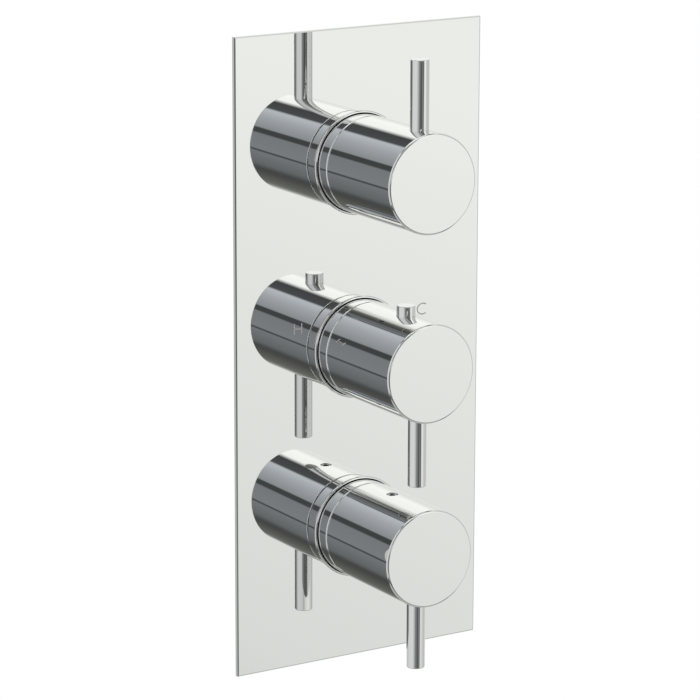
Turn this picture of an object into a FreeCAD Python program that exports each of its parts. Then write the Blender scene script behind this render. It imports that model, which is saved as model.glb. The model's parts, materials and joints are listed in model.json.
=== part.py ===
import FreeCAD, Part
import math
import os

os.makedirs("parts", exist_ok=True)
Vector = FreeCAD.Vector

# Millimetres. Z is up, the finished wall is the plane Y = 0, the user stands at -Y.
# The middle (temperature) control's axis is the line X = 0, Z = 0.

# Cover plate and the foam seal behind it
plate_width = 132.0
plate_height = 300.0
plate_thickness = 3.0
plate_bevel = 0.6
foam_thickness = 1.0
foam_inset = 3.0
foam_band = 9.0

# The three controls; a reach is measured from the plate's front face, a setback from the knob's face
control_spacing = 87.0
knob_diameter = 46.0
knob_reach = 61.5
knob_edge = 0.8
knob_wall = 3.2
hub_clearance = 4.6
hub_setback = 7.5
sleeve_reach = 8.5
sleeve_wall = 2.0
sleeve_edge = 0.6
seam_gap = 0.5
plate_hole_gap = 0.4
plate_hole_edge = 0.4
sleeve_seal_recess = 0.7

# Lever pins, the override button and the grub screws
pin_diameter = 8.6
pin_chamfer = 0.3
lever_setback = 11.3
lever_clearance = 9.2
lever_seat_depth = 3.0
tenon_diameter = 5.0
tenon_bite = 1.0
tenon_cover = 1.5
button_setback = 21.4
button_height = 4.8
button_travel = 2.5
button_flange = 1.3
button_foot_thickness = 1.5
button_foot_diameter = 8.0
button_neck_diameter = 4.0
button_spring_diameter = 6.2
button_spring_wire = 0.7
spring_pocket_depth = 0.6
grub_setback = 32.1
grub_diameter = 4.4
grub_recess = 1.6
grub_socket = 2.5
grub_socket_depth = 2.5
grub_boss_width = 10.0
rib_lap = 1.0

# Spindles and the splined adaptors that the knobs sit on
spindle_diameter = 9.0
spline_diameter = 8.0
spline_teeth = 20
spline_depth = 0.4
adaptor_diameter = 13.0
adaptor_length = 22.0

# Brass valve body behind the wall
body_setback = 2.0
flow_boss_diameter = 44.0
mix_boss_diameter = 52.0
boss_thread_length = 12.0
barrel_diameter = 27.0
barrel_bore = 18.0
barrel_cover = 0.5
seat_floor = 1.0
port_thread_diameter = 18.6
port_thread_depth = 15.0
outlet_diameter = 30.0
outlet_clearance = 1.0
outlet_reach = 40.0
outlet_bore = 12.0
inlet_diameter = 32.0
inlet_clearance = 2.0
inlet_reach = 46.0
inlet_bore = 24.0
inlet_bottom = 27.5
gallery_diameter = 8.0
chamber_margin = 1.0
lug_diameter = 16.0
lug_thickness = 5.0
lug_hole = 5.5
lug_half_width = 30.0

# Flow cartridges: quarter-turn ceramic discs, top and bottom
neck_clearance = 1.5
flow_neck_diameter = 16.0
flow_hex = 27.0
flow_hex_length = 8.0
flow_thread_diameter = 32.0
flow_thread_length = 14.0
flow_barrel_diameter = 28.0
flow_seat = 44.0
flow_bore = 22.0
flow_bore_front = 22.0
flow_passage_diameter = 17.0
flow_window = 7.0
flow_window_sweep = 140.0
flow_gallery_diameter = 34.0
disc_thickness = 3.0
disc_rim = 1.5
disc_aperture_angle = 80.0
disc_hub_diameter = 9.0
seat_seal_thickness = 1.5
seat_seal_band = 3.0
spindle_collar_margin = 1.0
spindle_collar_thickness = 2.0
drive_bar_width = 6.0
drive_tongue_width = 4.0
drive_tongue_depth = 1.5
drive_margin = 2.5
quarter_turn = 90.0
stop_lug_angle = 30.0
stop_margin = 1.0
stop_height = 3.0
stop_rim_width = 2.2
groove_land = 1.0
upright = 90.0

# Thermostatic cartridge in the middle
mix_thread_diameter = 36.0
mix_bore = 34.0
mix_shoulder = 15.0
mix_end = 47.0
mix_ledge = 2.0
mix_nut_hex = 30.0
mix_nut_hex_length = 7.0
mix_flange = 3.0
mix_cylinder = 27.0
mix_cylinder_front = 14.0
mix_lip = 2.0
mix_lip_bore = 18.0
hot_port = 25.5
cold_port = 38.0
port_width = 5.0
ports_round = 3
port_sweep = 100.0
port_start = 10.0
groove_width = 7.0
groove_diameter = 40.0
first_seal_margin = 2.5
last_seal_margin = 1.0
adjuster_across_flats = 15.6
adjuster_length = 13.5
adjuster_chamber_front = -6.0
adjuster_floor = 2.0
screw_diameter = 12.0
screw_end_gap = 1.5
thrust_collar_thickness = 2.0
capsule_diameter = 10.0
capsule_collar = 15.0
capsule_collar_thickness = 1.5
capsule_nose = 1.5
capsule_end_margin = 3.0
piston_diameter = 4.0
shuttle_web = 2.0
shuttle_web_inset = 1.5
shuttle_wall = 1.5
shuttle_openings = 4
shuttle_opening_sweep = 60.0
shuttle_web_rim = 0.8
spring_wall_gap = 2.4
spring_wire = 2.0
temperature_swing = 70.0
stop_wall_gap = 5.2
stop_wall = 2.6
stop_lap = 1.6
stop_back = -5.5

# Inlet fittings
union_hex = 30.0
union_hex_length = 8.0
union_socket_length = 4.5
union_socket_diameter = 28.0
union_thread_length = 12.0
union_bore = 14.0
washer_thickness = 1.5
check_length = 9.0
check_seat_bore = 11.0
check_cage_bore = 18.0
check_seat_thickness = 1.5
check_floor = 1.5
check_flow_holes = 4
check_flow_hole = 4.4
check_flow_circle = 11.0
check_spring_gap = 0.5
check_spring_wire = 0.8
poppet_travel = 2.5
poppet_stem = 3.0
poppet_diameter = 14.0
poppet_thickness = 1.2
filter_rim = 1.0
filter_length = 6.0
filter_gap = 0.5
filter_wall = 0.8

# Clearances
running = 0.05
fitting = 0.1
slack = 0.3
seal_width = 2.5
seal_depth = 1.6

# A cutting tool runs this far past the face it cuts; edges closer than a hair lie in one place
past = 1.0
hair = 0.001

# Places worked out from the sizes above
plate_back = -foam_thickness
plate_front = plate_back - plate_thickness
knob_face = plate_front - knob_reach
sleeve_front = plate_front - sleeve_reach
knob_back = sleeve_front - seam_gap
hub_back = knob_back - hub_setback
lever_y = knob_face + lever_setback
button_y = knob_face + button_setback
grub_y = knob_face + grub_setback
cavity_front = button_y - pin_diameter / 2 - button_flange - slack
knob_radius = knob_diameter / 2
wall_radius = knob_radius - knob_wall
stop_outer_radius = wall_radius - stop_wall_gap
hub_radius = stop_outer_radius - hub_clearance
mix_nose_radius = stop_outer_radius - stop_wall
sleeve_bore_radius = knob_radius - sleeve_wall
boss_thread_radius = sleeve_bore_radius - fitting
lever_tip = control_spacing - knob_radius - lever_clearance
button_tip = knob_radius + button_height
body_front = body_setback
boss_shoulder = body_front + boss_thread_length
outlet_setback = boss_shoulder + outlet_clearance + outlet_diameter / 2
inlet_setback = boss_shoulder + inlet_clearance + inlet_diameter / 2
barrel_setback = flow_seat + seat_floor + barrel_bore / 2
body_back = barrel_setback + barrel_diameter / 2 + barrel_cover
adaptor_back = hub_back - slack
neck_front = hub_back + stop_height + neck_clearance
spindle_tip = adaptor_back - adaptor_length + slack
lug_y = body_back - lug_thickness
chamber_end = barrel_setback + barrel_bore / 2 + chamber_margin
stem_relief = inlet_bottom - poppet_travel - slack
union_shoulder = inlet_reach + washer_thickness
union_reach = union_shoulder + union_hex_length + union_socket_length
upward = Vector(0, 0, 1)
downward = Vector(0, 0, -1)
flow_controls = {
    "top": {"z": control_spacing, "lever": upward},
    "bottom": {"z": -control_spacing, "lever": downward},
}


def turned(outline, z=0.0):
    # a solid turned about the control axis at height z, from corners given as (radius, y)
    corners = [Vector(radius, y, 0) for radius, y in outline]
    face = Part.Face(Part.makePolygon(corners + corners[:1]))
    solid = face.revolve(Vector(0, 0, 0), Vector(0, 1, 0), 360)
    solid.translate(Vector(0, 0, z))
    return solid


def ring(outer, inner, front, back, z=0.0):
    return turned([(inner, front), (outer, front), (outer, back), (inner, back)], z)


def disc(radius, front, back, z=0.0):
    return turned([(0, front), (radius, front), (radius, back), (0, back)], z)


def spoke(radius, y, z, direction, start, end):
    # a round bar that leaves a control axis at right angles
    foot = Vector(0, y, z) + direction * start
    return Part.makeCylinder(radius, end - start, foot, direction)


def prism(corners, front, back, z=0.0):
    # a bar along Y with straight sides, from corners given as (x, z) about the control axis
    points = [Vector(x, front, z + up) for x, up in corners]
    return Part.Face(Part.makePolygon(points + points[:1])).extrude(Vector(0, back - front, 0))


def hexagon(across_flats):
    corner = across_flats / math.sqrt(3)
    turns = [math.radians(60 * side) for side in range(6)]
    return [(corner * math.cos(turn), corner * math.sin(turn)) for turn in turns]


def spline(tip_radius):
    # straight-sided teeth, as corners: root, tip, tip, root for each tooth
    corners = []
    pitch = 2 * math.pi / spline_teeth
    for tooth in range(spline_teeth):
        for share, radius in ((0.0, 0.0), (0.25, spline_depth), (0.5, spline_depth), (0.75, 0.0)):
            turn = (tooth + share) * pitch
            reach = tip_radius - spline_depth + radius
            corners.append((reach * math.cos(turn), reach * math.sin(turn)))
    return corners


def sector(outer, inner, front, back, start, sweep, z=0.0):
    # part of a ring; angles run anticlockwise from the right as the user sees the control
    section = [(inner, front), (outer, front), (outer, back), (inner, back)]
    corners = [Vector(radius, y, 0) for radius, y in section]
    face = Part.Face(Part.makePolygon(corners + corners[:1]))
    face.rotate(Vector(0, 0, 0), Vector(0, -1, 0), start)
    solid = face.revolve(Vector(0, 0, 0), Vector(0, -1, 0), sweep)
    solid.translate(Vector(0, 0, z))
    return solid


def cut_all(solid, tools):
    for tool in tools:
        solid = solid.cut(tool)
    return solid


def rim(solid, radius, y):
    # the round edge of this radius that lies in the plane at y
    found = []
    for edge in solid.Edges:
        box = edge.BoundBox
        flat = abs(box.YMin - y) < hair and abs(box.YMax - y) < hair
        if flat and abs(box.XLength - 2 * radius) < hair:
            found.append(edge)
    return found


def save(name, shape):
    shape.exportStep("parts/" + name + ".step")


def cover_plate():
    plate = Part.makeBox(plate_width, plate_thickness, plate_height)
    plate.translate(Vector(-plate_width / 2, plate_front, -plate_height / 2))
    front_edges = [e for e in plate.Edges if abs(e.BoundBox.YMax - plate_front) < hair]
    plate = plate.makeChamfer(plate_bevel, front_edges)
    hole_radius = knob_radius + plate_hole_gap
    for z in (control_spacing, 0, -control_spacing):
        plate = plate.cut(disc(hole_radius, plate_front - past, plate_back + past, z))
    return plate.makeChamfer(plate_hole_edge, rim(plate, hole_radius, plate_front))


def wall_seal():
    def panel(inset):
        width = plate_width - 2 * inset
        height = plate_height - 2 * inset
        return Part.makeBox(width, foam_thickness, height, Vector(-width / 2, plate_back, -height / 2))
    return panel(foam_inset).cut(panel(foam_inset + foam_band))


def sleeve(z):
    # the fixed shroud, screwed over the threaded front of its boss
    tube = ring(knob_radius, sleeve_bore_radius, sleeve_front, boss_shoulder - slack, z)
    return tube.makeChamfer(sleeve_edge, rim(tube, knob_radius, sleeve_front))


def sleeve_seal(z):
    # rubber ring that fills the gap between a sleeve and the plate, and carries the plate
    return ring(knob_radius + plate_hole_gap, knob_radius, plate_front + sleeve_seal_recess, plate_back, z)


def flow_boss_cuts(z, outlet):
    # what the cartridge, its gallery and its outlet take out of a flow boss
    gallery_front = outlet_setback - flow_window / 2 - slack
    gallery_back = outlet_setback + flow_window / 2 + slack
    thread_end = body_front + flow_thread_length
    outline = [(0, body_front), (flow_thread_diameter / 2, body_front)]
    outline += [(flow_thread_diameter / 2, thread_end), (flow_barrel_diameter / 2, thread_end)]
    outline += [(flow_barrel_diameter / 2, flow_seat), (flow_passage_diameter / 2, flow_seat)]
    outline += [(flow_passage_diameter / 2, chamber_end), (0, chamber_end)]
    port_bottom = outlet_reach - port_thread_depth
    return [
        turned(outline, z),
        disc(flow_gallery_diameter / 2, gallery_front, gallery_back, z),
        spoke(outlet_bore / 2, outlet_setback, z, outlet, 0, outlet_reach),
        spoke(port_thread_diameter / 2, outlet_setback, z, outlet, port_bottom, outlet_reach),
    ]


def boss(diameter, z):
    front = disc(boss_thread_radius, body_front, boss_shoulder, z)
    return front.fuse(disc(diameter / 2, boss_shoulder, body_back, z))


def mix_boss_cuts():
    outline = [(0, body_front), (mix_thread_diameter / 2, body_front)]
    outline += [(mix_thread_diameter / 2, mix_shoulder), (mix_bore / 2, mix_shoulder)]
    outline += [(mix_bore / 2, mix_end), (mix_bore / 2 - mix_ledge, mix_end)]
    outline += [(mix_bore / 2 - mix_ledge, chamber_end), (0, chamber_end)]
    cuts = [turned(outline)]
    for port, side in ((hot_port, Vector(-1, 0, 0)), (cold_port, Vector(1, 0, 0))):
        cuts.append(disc(groove_diameter / 2, port - groove_width / 2, port + groove_width / 2))
        cuts.append(spoke(gallery_diameter / 2, port, 0, side, 0, inlet_bottom + past))
        cuts.append(spoke(inlet_bore / 2, inlet_setback, 0, side, inlet_bottom, inlet_reach))
        cuts.append(spoke(check_cage_bore / 2, inlet_setback, 0, side, stem_relief, inlet_bottom))
    return cuts


def lug(side, z):
    # a fixing foot on the back of the barrel
    radius = lug_diameter / 2
    arm = Part.makeBox(lug_half_width, lug_thickness, lug_diameter, Vector(0, lug_y, -radius))
    eye = disc(radius, lug_y, body_back)
    eye.translate(Vector(lug_half_width, 0, 0))
    foot = arm.fuse(eye)
    hole = disc(lug_hole / 2, lug_y - past, body_back + past)
    hole.translate(Vector(lug_half_width, 0, 0))
    foot = foot.cut(hole)
    if side < 0:
        foot.rotate(Vector(0, 0, 0), Vector(0, 1, 0), 180)
    foot.translate(Vector(0, 0, z))
    return foot


def valve_body():
    # one brass casting: three bosses on a barrel, two inlets, two outlets and four feet
    solids = [boss(mix_boss_diameter, 0)]
    cuts = mix_boss_cuts()
    foot = Vector(0, barrel_setback, -control_spacing)
    barrel = Part.makeCylinder(barrel_diameter / 2, 2 * control_spacing, foot, upward)
    cuts.append(Part.makeCylinder(barrel_bore / 2, 2 * control_spacing, foot, upward))
    for control in flow_controls.values():
        z = control["z"]
        solids.append(boss(flow_boss_diameter, z))
        solids.append(spoke(outlet_diameter / 2, outlet_setback, z, control["lever"], 0, outlet_reach))
        cuts += flow_boss_cuts(z, control["lever"])
        solids += [lug(side, z / 2) for side in (-1, 1)]
    for side in (Vector(-1, 0, 0), Vector(1, 0, 0)):
        solids.append(spoke(inlet_diameter / 2, inlet_setback, 0, side, 0, inlet_reach))
    casting = barrel.multiFuse(solids)
    return cut_all(casting, cuts).removeSplitter()


def knob_blank(z, bore_front):
    outline = [(0, knob_face), (knob_radius, knob_face), (knob_radius, knob_back)]
    outline += [(wall_radius, knob_back), (wall_radius, cavity_front), (hub_radius, cavity_front)]
    outline += [(hub_radius, hub_back), (adaptor_diameter / 2 + running, hub_back)]
    outline += [(adaptor_diameter / 2 + running, bore_front), (0, bore_front)]
    blank = turned(outline, z)
    return blank.makeChamfer(knob_edge, rim(blank, knob_radius, knob_face))


def lever_seat(z, direction, tenon_end):
    # the counterbore and threaded hole that a lever pin screws into
    seat = spoke(pin_diameter / 2 + running, lever_y, z, direction, knob_radius - lever_seat_depth, lever_tip)
    thread = spoke(tenon_diameter / 2 + running, lever_y, z, direction, tenon_end - slack, knob_radius)
    return [seat, thread]


def lever(z, direction, tenon_end):
    seat = knob_radius - lever_seat_depth
    pin = spoke(pin_diameter / 2, lever_y, z, direction, seat, lever_tip)
    tip_edges = [e for e in pin.Edges if abs(e.BoundBox.ZMin - (z + direction.z * lever_tip)) < hair]
    pin = pin.makeChamfer(pin_chamfer, tip_edges)
    tenon = spoke(tenon_diameter / 2, lever_y, z, direction, tenon_end, seat)
    return pin.fuse(tenon)


flow_adaptor_front = adaptor_back - adaptor_length
flow_bore_end = flow_adaptor_front - slack
mix_adaptor_front = lever_y - tenon_diameter / 2 - tenon_cover
flow_tenon_end = hub_radius - tenon_bite
adaptor_radius = adaptor_diameter / 2


def flow_handle(z, direction):
    # the grub screw enters opposite the lever, through a rib that ties the hub to the wall
    knob = knob_blank(z, flow_bore_end)
    half = grub_boss_width / 2
    rib_foot = (adaptor_radius + hub_radius) / 2
    corner = Vector(-half, grub_y - half, rib_foot)
    rib = Part.makeBox(grub_boss_width, grub_boss_width, wall_radius + rib_lap - rib_foot, corner)
    if direction.z > 0:
        rib.rotate(Vector(0, 0, 0), Vector(0, 1, 0), 180)
    rib.translate(Vector(0, 0, z))
    hole = spoke(grub_diameter / 2 + running, grub_y, z, direction * -1, 0, knob_radius + past)
    return cut_all(knob.fuse(rib), lever_seat(z, direction, flow_tenon_end) + [hole]).removeSplitter()


def grub_screw(z, direction):
    side = direction * -1
    head = knob_radius - grub_recess
    screw = spoke(grub_diameter / 2, grub_y, z, side, adaptor_radius, head)
    mouth = [Vector(x, grub_y + y, z + side.z * head) for x, y in hexagon(grub_socket)]
    socket = Part.Face(Part.makePolygon(mouth + mouth[:1])).extrude(side * -grub_socket_depth)
    return screw.cut(socket)


def adaptor(z, front):
    # splined insert that the grub screw, or the temperature lever's tenon, grips in the hub
    teeth = prism(spline(spline_diameter / 2 + running), spindle_tip - slack, adaptor_back + past, z)
    return disc(adaptor_radius, front, adaptor_back, z).cut(teeth)


def spindle_front(z, back):
    # the splined end that the adaptor takes, and the plain shaft through the neck
    spline_back = adaptor_back + slack
    teeth = prism(spline(spline_diameter / 2), spindle_tip, spline_back, z)
    return teeth.fuse(disc(spindle_diameter / 2, spline_back, back, z))


disc_back = flow_seat - seat_seal_thickness
fixed_disc_front = disc_back - disc_thickness
moving_disc_front = fixed_disc_front - running - disc_thickness
lug_front = neck_front - stop_height
first_stop = upright + stop_lug_angle / 2 + quarter_turn + stop_margin
stop_sweep = 360.0 - quarter_turn - stop_lug_angle - 2 * stop_margin


def ceramic_disc(front, z, first_aperture):
    outer = flow_bore / 2 - running
    plate = disc(outer, front, front + disc_thickness, z)
    cuts = []
    for centre in (first_aperture, first_aperture + 180.0):
        start = centre - disc_aperture_angle / 2
        cuts.append(sector(outer - disc_rim, disc_hub_diameter / 2, front - past,
                           front + disc_thickness + past, start, disc_aperture_angle, z))
    return cut_all(plate, cuts)


def drive_slot(width, front, back, z):
    half = flow_bore / 2 - drive_margin
    corners = [(-width / 2, -half), (width / 2, -half), (width / 2, half), (-width / 2, half)]
    return prism(corners, front, back, z)


def moving_disc(z):
    plate = ceramic_disc(moving_disc_front, z, 0.0)
    slot_back = moving_disc_front + drive_tongue_depth + slack
    return plate.cut(drive_slot(drive_tongue_width + 2 * running, moving_disc_front - past, slot_back, z))


def flow_spindle(z):
    # a lug works between the neck's stops; a bar and tongue turn the moving disc
    bar_back = moving_disc_front - running
    bar_front = bar_back - disc_thickness
    shaft = spindle_front(z, bar_back)
    collar_front = flow_bore_front + running
    collar_radius = flow_neck_diameter / 2 - spindle_collar_margin
    collar = disc(collar_radius, collar_front, collar_front + spindle_collar_thickness, z)
    bar = drive_slot(drive_bar_width, bar_front, bar_back, z)
    tongue = drive_slot(drive_tongue_width, bar_back, moving_disc_front + drive_tongue_depth, z)
    stop = sector(flow_neck_diameter / 2 - slack, 1, lug_front, neck_front - running,
                  upright - stop_lug_angle / 2, stop_lug_angle, z)
    return shaft.multiFuse([collar, bar, tongue, stop])


def flow_cartridge(z):
    # neck, spanner hexagon, thread and a windowed barrel, with the quarter-turn stop on its nose
    neck = flow_neck_diameter / 2
    hex_front = body_front - flow_hex_length
    thread_end = body_front + flow_thread_length
    barrel = flow_barrel_diameter / 2 - fitting
    thread = flow_thread_diameter / 2 - fitting
    groove_front = thread_end + groove_land
    groove_back = groove_front + seal_width
    bore = spindle_diameter / 2 + running
    outline = [(bore, neck_front), (neck, neck_front), (neck, body_front), (thread, body_front)]
    outline += [(thread, thread_end), (barrel, thread_end), (barrel, groove_front)]
    outline += [(barrel - seal_depth, groove_front), (barrel - seal_depth, groove_back)]
    outline += [(barrel, groove_back), (barrel, flow_seat - slack), (flow_bore / 2, flow_seat - slack)]
    outline += [(flow_bore / 2, flow_bore_front), (bore, flow_bore_front)]
    flats = prism(hexagon(flow_hex), hex_front, body_front, z)
    flats = flats.cut(disc(bore, hex_front - past, body_front + past, z))
    stop = sector(neck, neck - stop_rim_width, lug_front, neck_front, first_stop, stop_sweep, z)
    housing = turned(outline, z).multiFuse([flats, stop])
    window_front = outlet_setback - flow_window / 2
    window_back = outlet_setback + flow_window / 2
    for middle in (upright, upright + 180):
        start = middle - flow_window_sweep / 2
        window = sector(barrel + past, flow_bore / 2 - past, window_front, window_back,
                        start, flow_window_sweep, z)
        housing = housing.cut(window)
    return housing


def flow_seals(z):
    # the groove seal behind the thread and the face seal between the fixed disc and its seat
    groove_front = body_front + flow_thread_length + groove_land
    outer = flow_barrel_diameter / 2
    groove = ring(outer, outer - fitting - seal_depth, groove_front, groove_front + seal_width, z)
    face = ring(flow_bore / 2 - running, flow_bore / 2 - seat_seal_band, disc_back, flow_seat, z)
    return [groove, face]


def thermostat_seal_fronts():
    between = (hot_port + cold_port - seal_width) / 2
    return [mix_shoulder + first_seal_margin, between, mix_end - seal_width - last_seal_margin]


adjuster_back = mix_cylinder_front - slack
adjuster_front = adjuster_back - adjuster_length
shuttle_front = hot_port
shuttle_back = cold_port
web_front = shuttle_front + shuttle_web_inset
web_back = web_front + shuttle_web
spring_back = mix_end - mix_lip


def thermostat_housing():
    # nose, flange, and a ported barrel whose grooves take the three seals
    barrel = mix_bore / 2 - fitting
    nose = mix_nose_radius
    shaft_bore = spindle_diameter / 2 + running
    outline = [(shaft_bore, neck_front), (nose, neck_front), (nose, mix_shoulder - mix_flange)]
    outline += [(mix_thread_diameter / 2 - fitting, mix_shoulder - mix_flange)]
    outline += [(mix_thread_diameter / 2 - fitting, mix_shoulder), (barrel, mix_shoulder)]
    for front in thermostat_seal_fronts():
        outline += [(barrel, front), (barrel - seal_depth, front)]
        outline += [(barrel - seal_depth, front + seal_width), (barrel, front + seal_width)]
    outline += [(barrel, mix_end), (mix_lip_bore / 2, mix_end), (mix_lip_bore / 2, spring_back)]
    outline += [(mix_cylinder / 2, spring_back), (mix_cylinder / 2, mix_cylinder_front)]
    outline += [(shaft_bore, mix_cylinder_front)]
    housing = turned(outline)
    chamber_flats = hexagon(adjuster_across_flats + 2 * running)
    chamber = prism(chamber_flats, adjuster_chamber_front, mix_cylinder_front + past)
    housing = housing.cut(chamber)
    for port in (hot_port, cold_port):
        for turn in range(ports_round):
            window = sector(barrel + past, mix_cylinder / 2 - past, port - port_width / 2,
                            port + port_width / 2, port_start + turn * 360 / ports_round, port_sweep)
            housing = housing.cut(window)
    return housing


def thermostat_nut():
    hex_front = body_front - mix_nut_hex_length
    thread = mix_thread_diameter / 2 - fitting
    back = mix_shoulder - mix_flange
    nut = prism(hexagon(mix_nut_hex), hex_front, body_front).fuse(disc(thread, body_front, back))
    return nut.cut(disc(mix_nose_radius + fitting, hex_front - past, back + past))


def thermostat_seals():
    outer = mix_bore / 2
    rings = []
    for front in thermostat_seal_fronts():
        rings.append(ring(outer, outer - fitting - seal_depth, front, front + seal_width))
    return rings


def temperature_spindle():
    # thrust collar inside the nose, then the screw that drives the adjuster
    collar_front = adjuster_chamber_front + running
    collar_back = collar_front + thrust_collar_thickness
    shaft = spindle_front(0, collar_front)
    collar = disc(adjuster_across_flats / 2 - slack, collar_front, collar_back)
    screw = disc(screw_diameter / 2, collar_back, adjuster_back - adjuster_floor - screw_end_gap)
    return shaft.multiFuse([collar, screw])


def adjuster():
    # a nut that can only slide: the spindle's screw turns inside it, and it pushes the piston
    block = prism(hexagon(adjuster_across_flats), adjuster_front, adjuster_back)
    socket = disc(screw_diameter / 2 + running, adjuster_front - past, adjuster_back - adjuster_floor)
    return block.cut(socket)


def wax_capsule():
    # a thin piston in front, a collar that seats on the shuttle's web, and the wax end behind
    nose = shuttle_front - capsule_nose
    collar_front = web_front - capsule_collar_thickness
    capsule_end = mix_end - capsule_end_margin
    outline = [(0, adjuster_back), (piston_diameter / 2, adjuster_back)]
    outline += [(piston_diameter / 2, nose), (capsule_diameter / 2, nose)]
    outline += [(capsule_diameter / 2, collar_front), (capsule_collar / 2, collar_front)]
    outline += [(capsule_collar / 2, web_front), (capsule_diameter / 2, web_front)]
    outline += [(capsule_diameter / 2, capsule_end), (0, capsule_end)]
    return turned(outline)


def shuttle():
    # the sleeve that closes one port as it opens the other, with a holed web that carries the capsule
    outer = mix_cylinder / 2 - running
    inner = outer - shuttle_wall
    outline = [(inner, shuttle_front), (outer, shuttle_front), (outer, shuttle_back), (inner, shuttle_back)]
    outline += [(inner, web_back), (capsule_diameter / 2, web_back)]
    outline += [(capsule_diameter / 2, web_front), (inner, web_front)]
    body = turned(outline)
    for turn in range(shuttle_openings):
        opening = sector(inner - shuttle_web_rim, capsule_collar / 2 + slack, web_front - past,
                         web_back + past, turn * 360 / shuttle_openings, shuttle_opening_sweep)
        body = body.cut(opening)
    return body


def return_spring():
    outer = mix_cylinder / 2 - spring_wall_gap
    return ring(outer, outer - spring_wire, web_back, spring_back)


def stop_ring():
    # fixed on the housing's nose; its front rim stops the button's foot at either end of the scale
    inner = mix_nose_radius
    outer = stop_outer_radius
    rim_front = button_y - button_foot_diameter / 2
    tube_front = button_y + button_foot_diameter / 2 + slack
    foot_angle = math.degrees(math.asin(button_foot_diameter / 2 / (button_foot_base + slack)))
    free = 2 * (temperature_swing + foot_angle + stop_margin)
    tube = ring(outer, inner, tube_front, stop_back)
    pressed_top = button_foot_base + button_foot_thickness - button_travel
    tab_inner = math.hypot(pressed_top, button_foot_diameter / 2) + slack
    tab = sector(outer, tab_inner, rim_front, tube_front, upright + free / 2, 360.0 - free)
    return tube.fuse(tab)


button_flange_top = math.sqrt(wall_radius ** 2 - (pin_diameter / 2 + button_flange) ** 2) - slack
button_foot_base = stop_outer_radius - stop_lap
spring_seat = hub_radius - spring_pocket_depth


def override_button():
    # head, retaining flange under the knob's wall, neck, and the foot that meets the stop ring
    head = pin_diameter / 2
    flange = head + button_flange
    foot = button_foot_diameter / 2
    neck = button_neck_diameter / 2
    foot_top = button_foot_base + button_foot_thickness
    flange_base = button_flange_top - button_flange
    pieces = [
        spoke(neck, button_y, 0, upward, foot_top, flange_base),
        spoke(flange, button_y, 0, upward, flange_base, button_flange_top),
        spoke(foot, button_y, 0, upward, button_foot_base, foot_top),
    ]
    cap = spoke(head, button_y, 0, upward, button_flange_top, button_tip)
    top_edges = [e for e in cap.Edges if abs(e.BoundBox.ZMin - button_tip) < hair]
    return cap.makeChamfer(pin_chamfer, top_edges).multiFuse(pieces)


def button_spring():
    radius = button_spring_diameter / 2
    coil = spoke(radius, button_y, 0, upward, spring_seat, button_foot_base)
    bore = radius - button_spring_wire
    return coil.cut(spoke(bore, button_y, 0, upward, spring_seat - past, button_foot_base + past))


def temperature_handle():
    # the lever's tenon grips the adaptor, and the button works through the top of the wall
    knob = knob_blank(0, mix_adaptor_front - slack)
    hole = spoke(pin_diameter / 2 + running, button_y, 0, upward, hub_radius + past, button_tip)
    pocket = spoke(button_spring_diameter / 2 + slack, button_y, 0, upward, spring_seat, hub_radius + past)
    return cut_all(knob, lever_seat(0, downward, adaptor_radius) + [hole, pocket])


def across(side, radius, start, end):
    return Part.makeCylinder(radius, end - start, Vector(side * start, inlet_setback, 0), Vector(side, 0, 0))


def across_ring(side, outer, inner, start, end):
    return across(side, outer, start, end).cut(across(side, inner, start - past, end + past))


check_inner = inlet_bottom
check_outer = check_inner + check_length
check_radius = inlet_bore / 2 - fitting
filter_outer = check_outer + filter_rim
union_inner = filter_outer
seat_face = check_outer - check_seat_thickness
cage_floor = check_inner + check_floor


def inlet_union(side):
    # threaded into the body's inlet, with a spanner hexagon and the female thread for the supply pipe
    hex_end = union_shoulder + union_hex_length
    flats = [Vector(side * union_shoulder, inlet_setback + y, z) for y, z in hexagon(union_hex)]
    nut = Part.Face(Part.makePolygon(flats + flats[:1])).extrude(Vector(side * union_hex_length, 0, 0))
    male = across(side, inlet_bore / 2 - fitting, union_inner, union_shoulder)
    socket = across(side, union_socket_diameter / 2, hex_end, union_reach)
    bore = across(side, union_bore / 2, union_inner - past, union_reach)
    thread = across(side, port_thread_diameter / 2, union_reach - union_thread_length, union_reach + past)
    return nut.multiFuse([male, socket]).cut(bore).cut(thread)


def inlet_seal(side):
    return across_ring(side, union_hex / 2, inlet_bore / 2, inlet_reach, union_shoulder)


def inlet_filter(side):
    # a rim held between the union and the check valve, and a mesh cup that stands in the union's bore
    cup = union_bore / 2 - filter_gap
    floor = filter_outer + filter_length
    rim_plate = across(side, check_radius, check_outer, filter_outer)
    wall = across(side, cup, filter_outer, floor)
    inside = across(side, cup - filter_wall, check_outer - past, floor - filter_wall)
    return rim_plate.fuse(wall).cut(inside)


def check_housing(side):
    # seat ring, cage and the spoked floor that guides the poppet's stem
    shell = across(side, check_radius, check_inner, check_outer)
    shell = shell.cut(across(side, check_seat_bore / 2, seat_face - past, check_outer + past))
    shell = shell.cut(across(side, check_cage_bore / 2, cage_floor, seat_face))
    shell = shell.cut(across(side, poppet_stem / 2 + running, check_inner - past, cage_floor + past))
    for turn in range(check_flow_holes):
        angle = math.radians((turn + 0.5) * 360 / check_flow_holes)
        hole = across(side, check_flow_hole / 2, check_inner - past, cage_floor + past)
        hole.translate(Vector(0, math.cos(angle), math.sin(angle)) * (check_flow_circle / 2))
        shell = shell.cut(hole)
    return shell


def check_poppet(side):
    head_outer = seat_face - running
    head = across(side, poppet_diameter / 2, head_outer - poppet_thickness, head_outer)
    stem = across(side, poppet_stem / 2, check_inner, head_outer)
    return head.fuse(stem)


def check_spring(side):
    inner = poppet_stem / 2 + check_spring_gap
    end = seat_face - running - poppet_thickness
    return across_ring(side, inner + check_spring_wire, inner, cage_floor, end)


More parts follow.
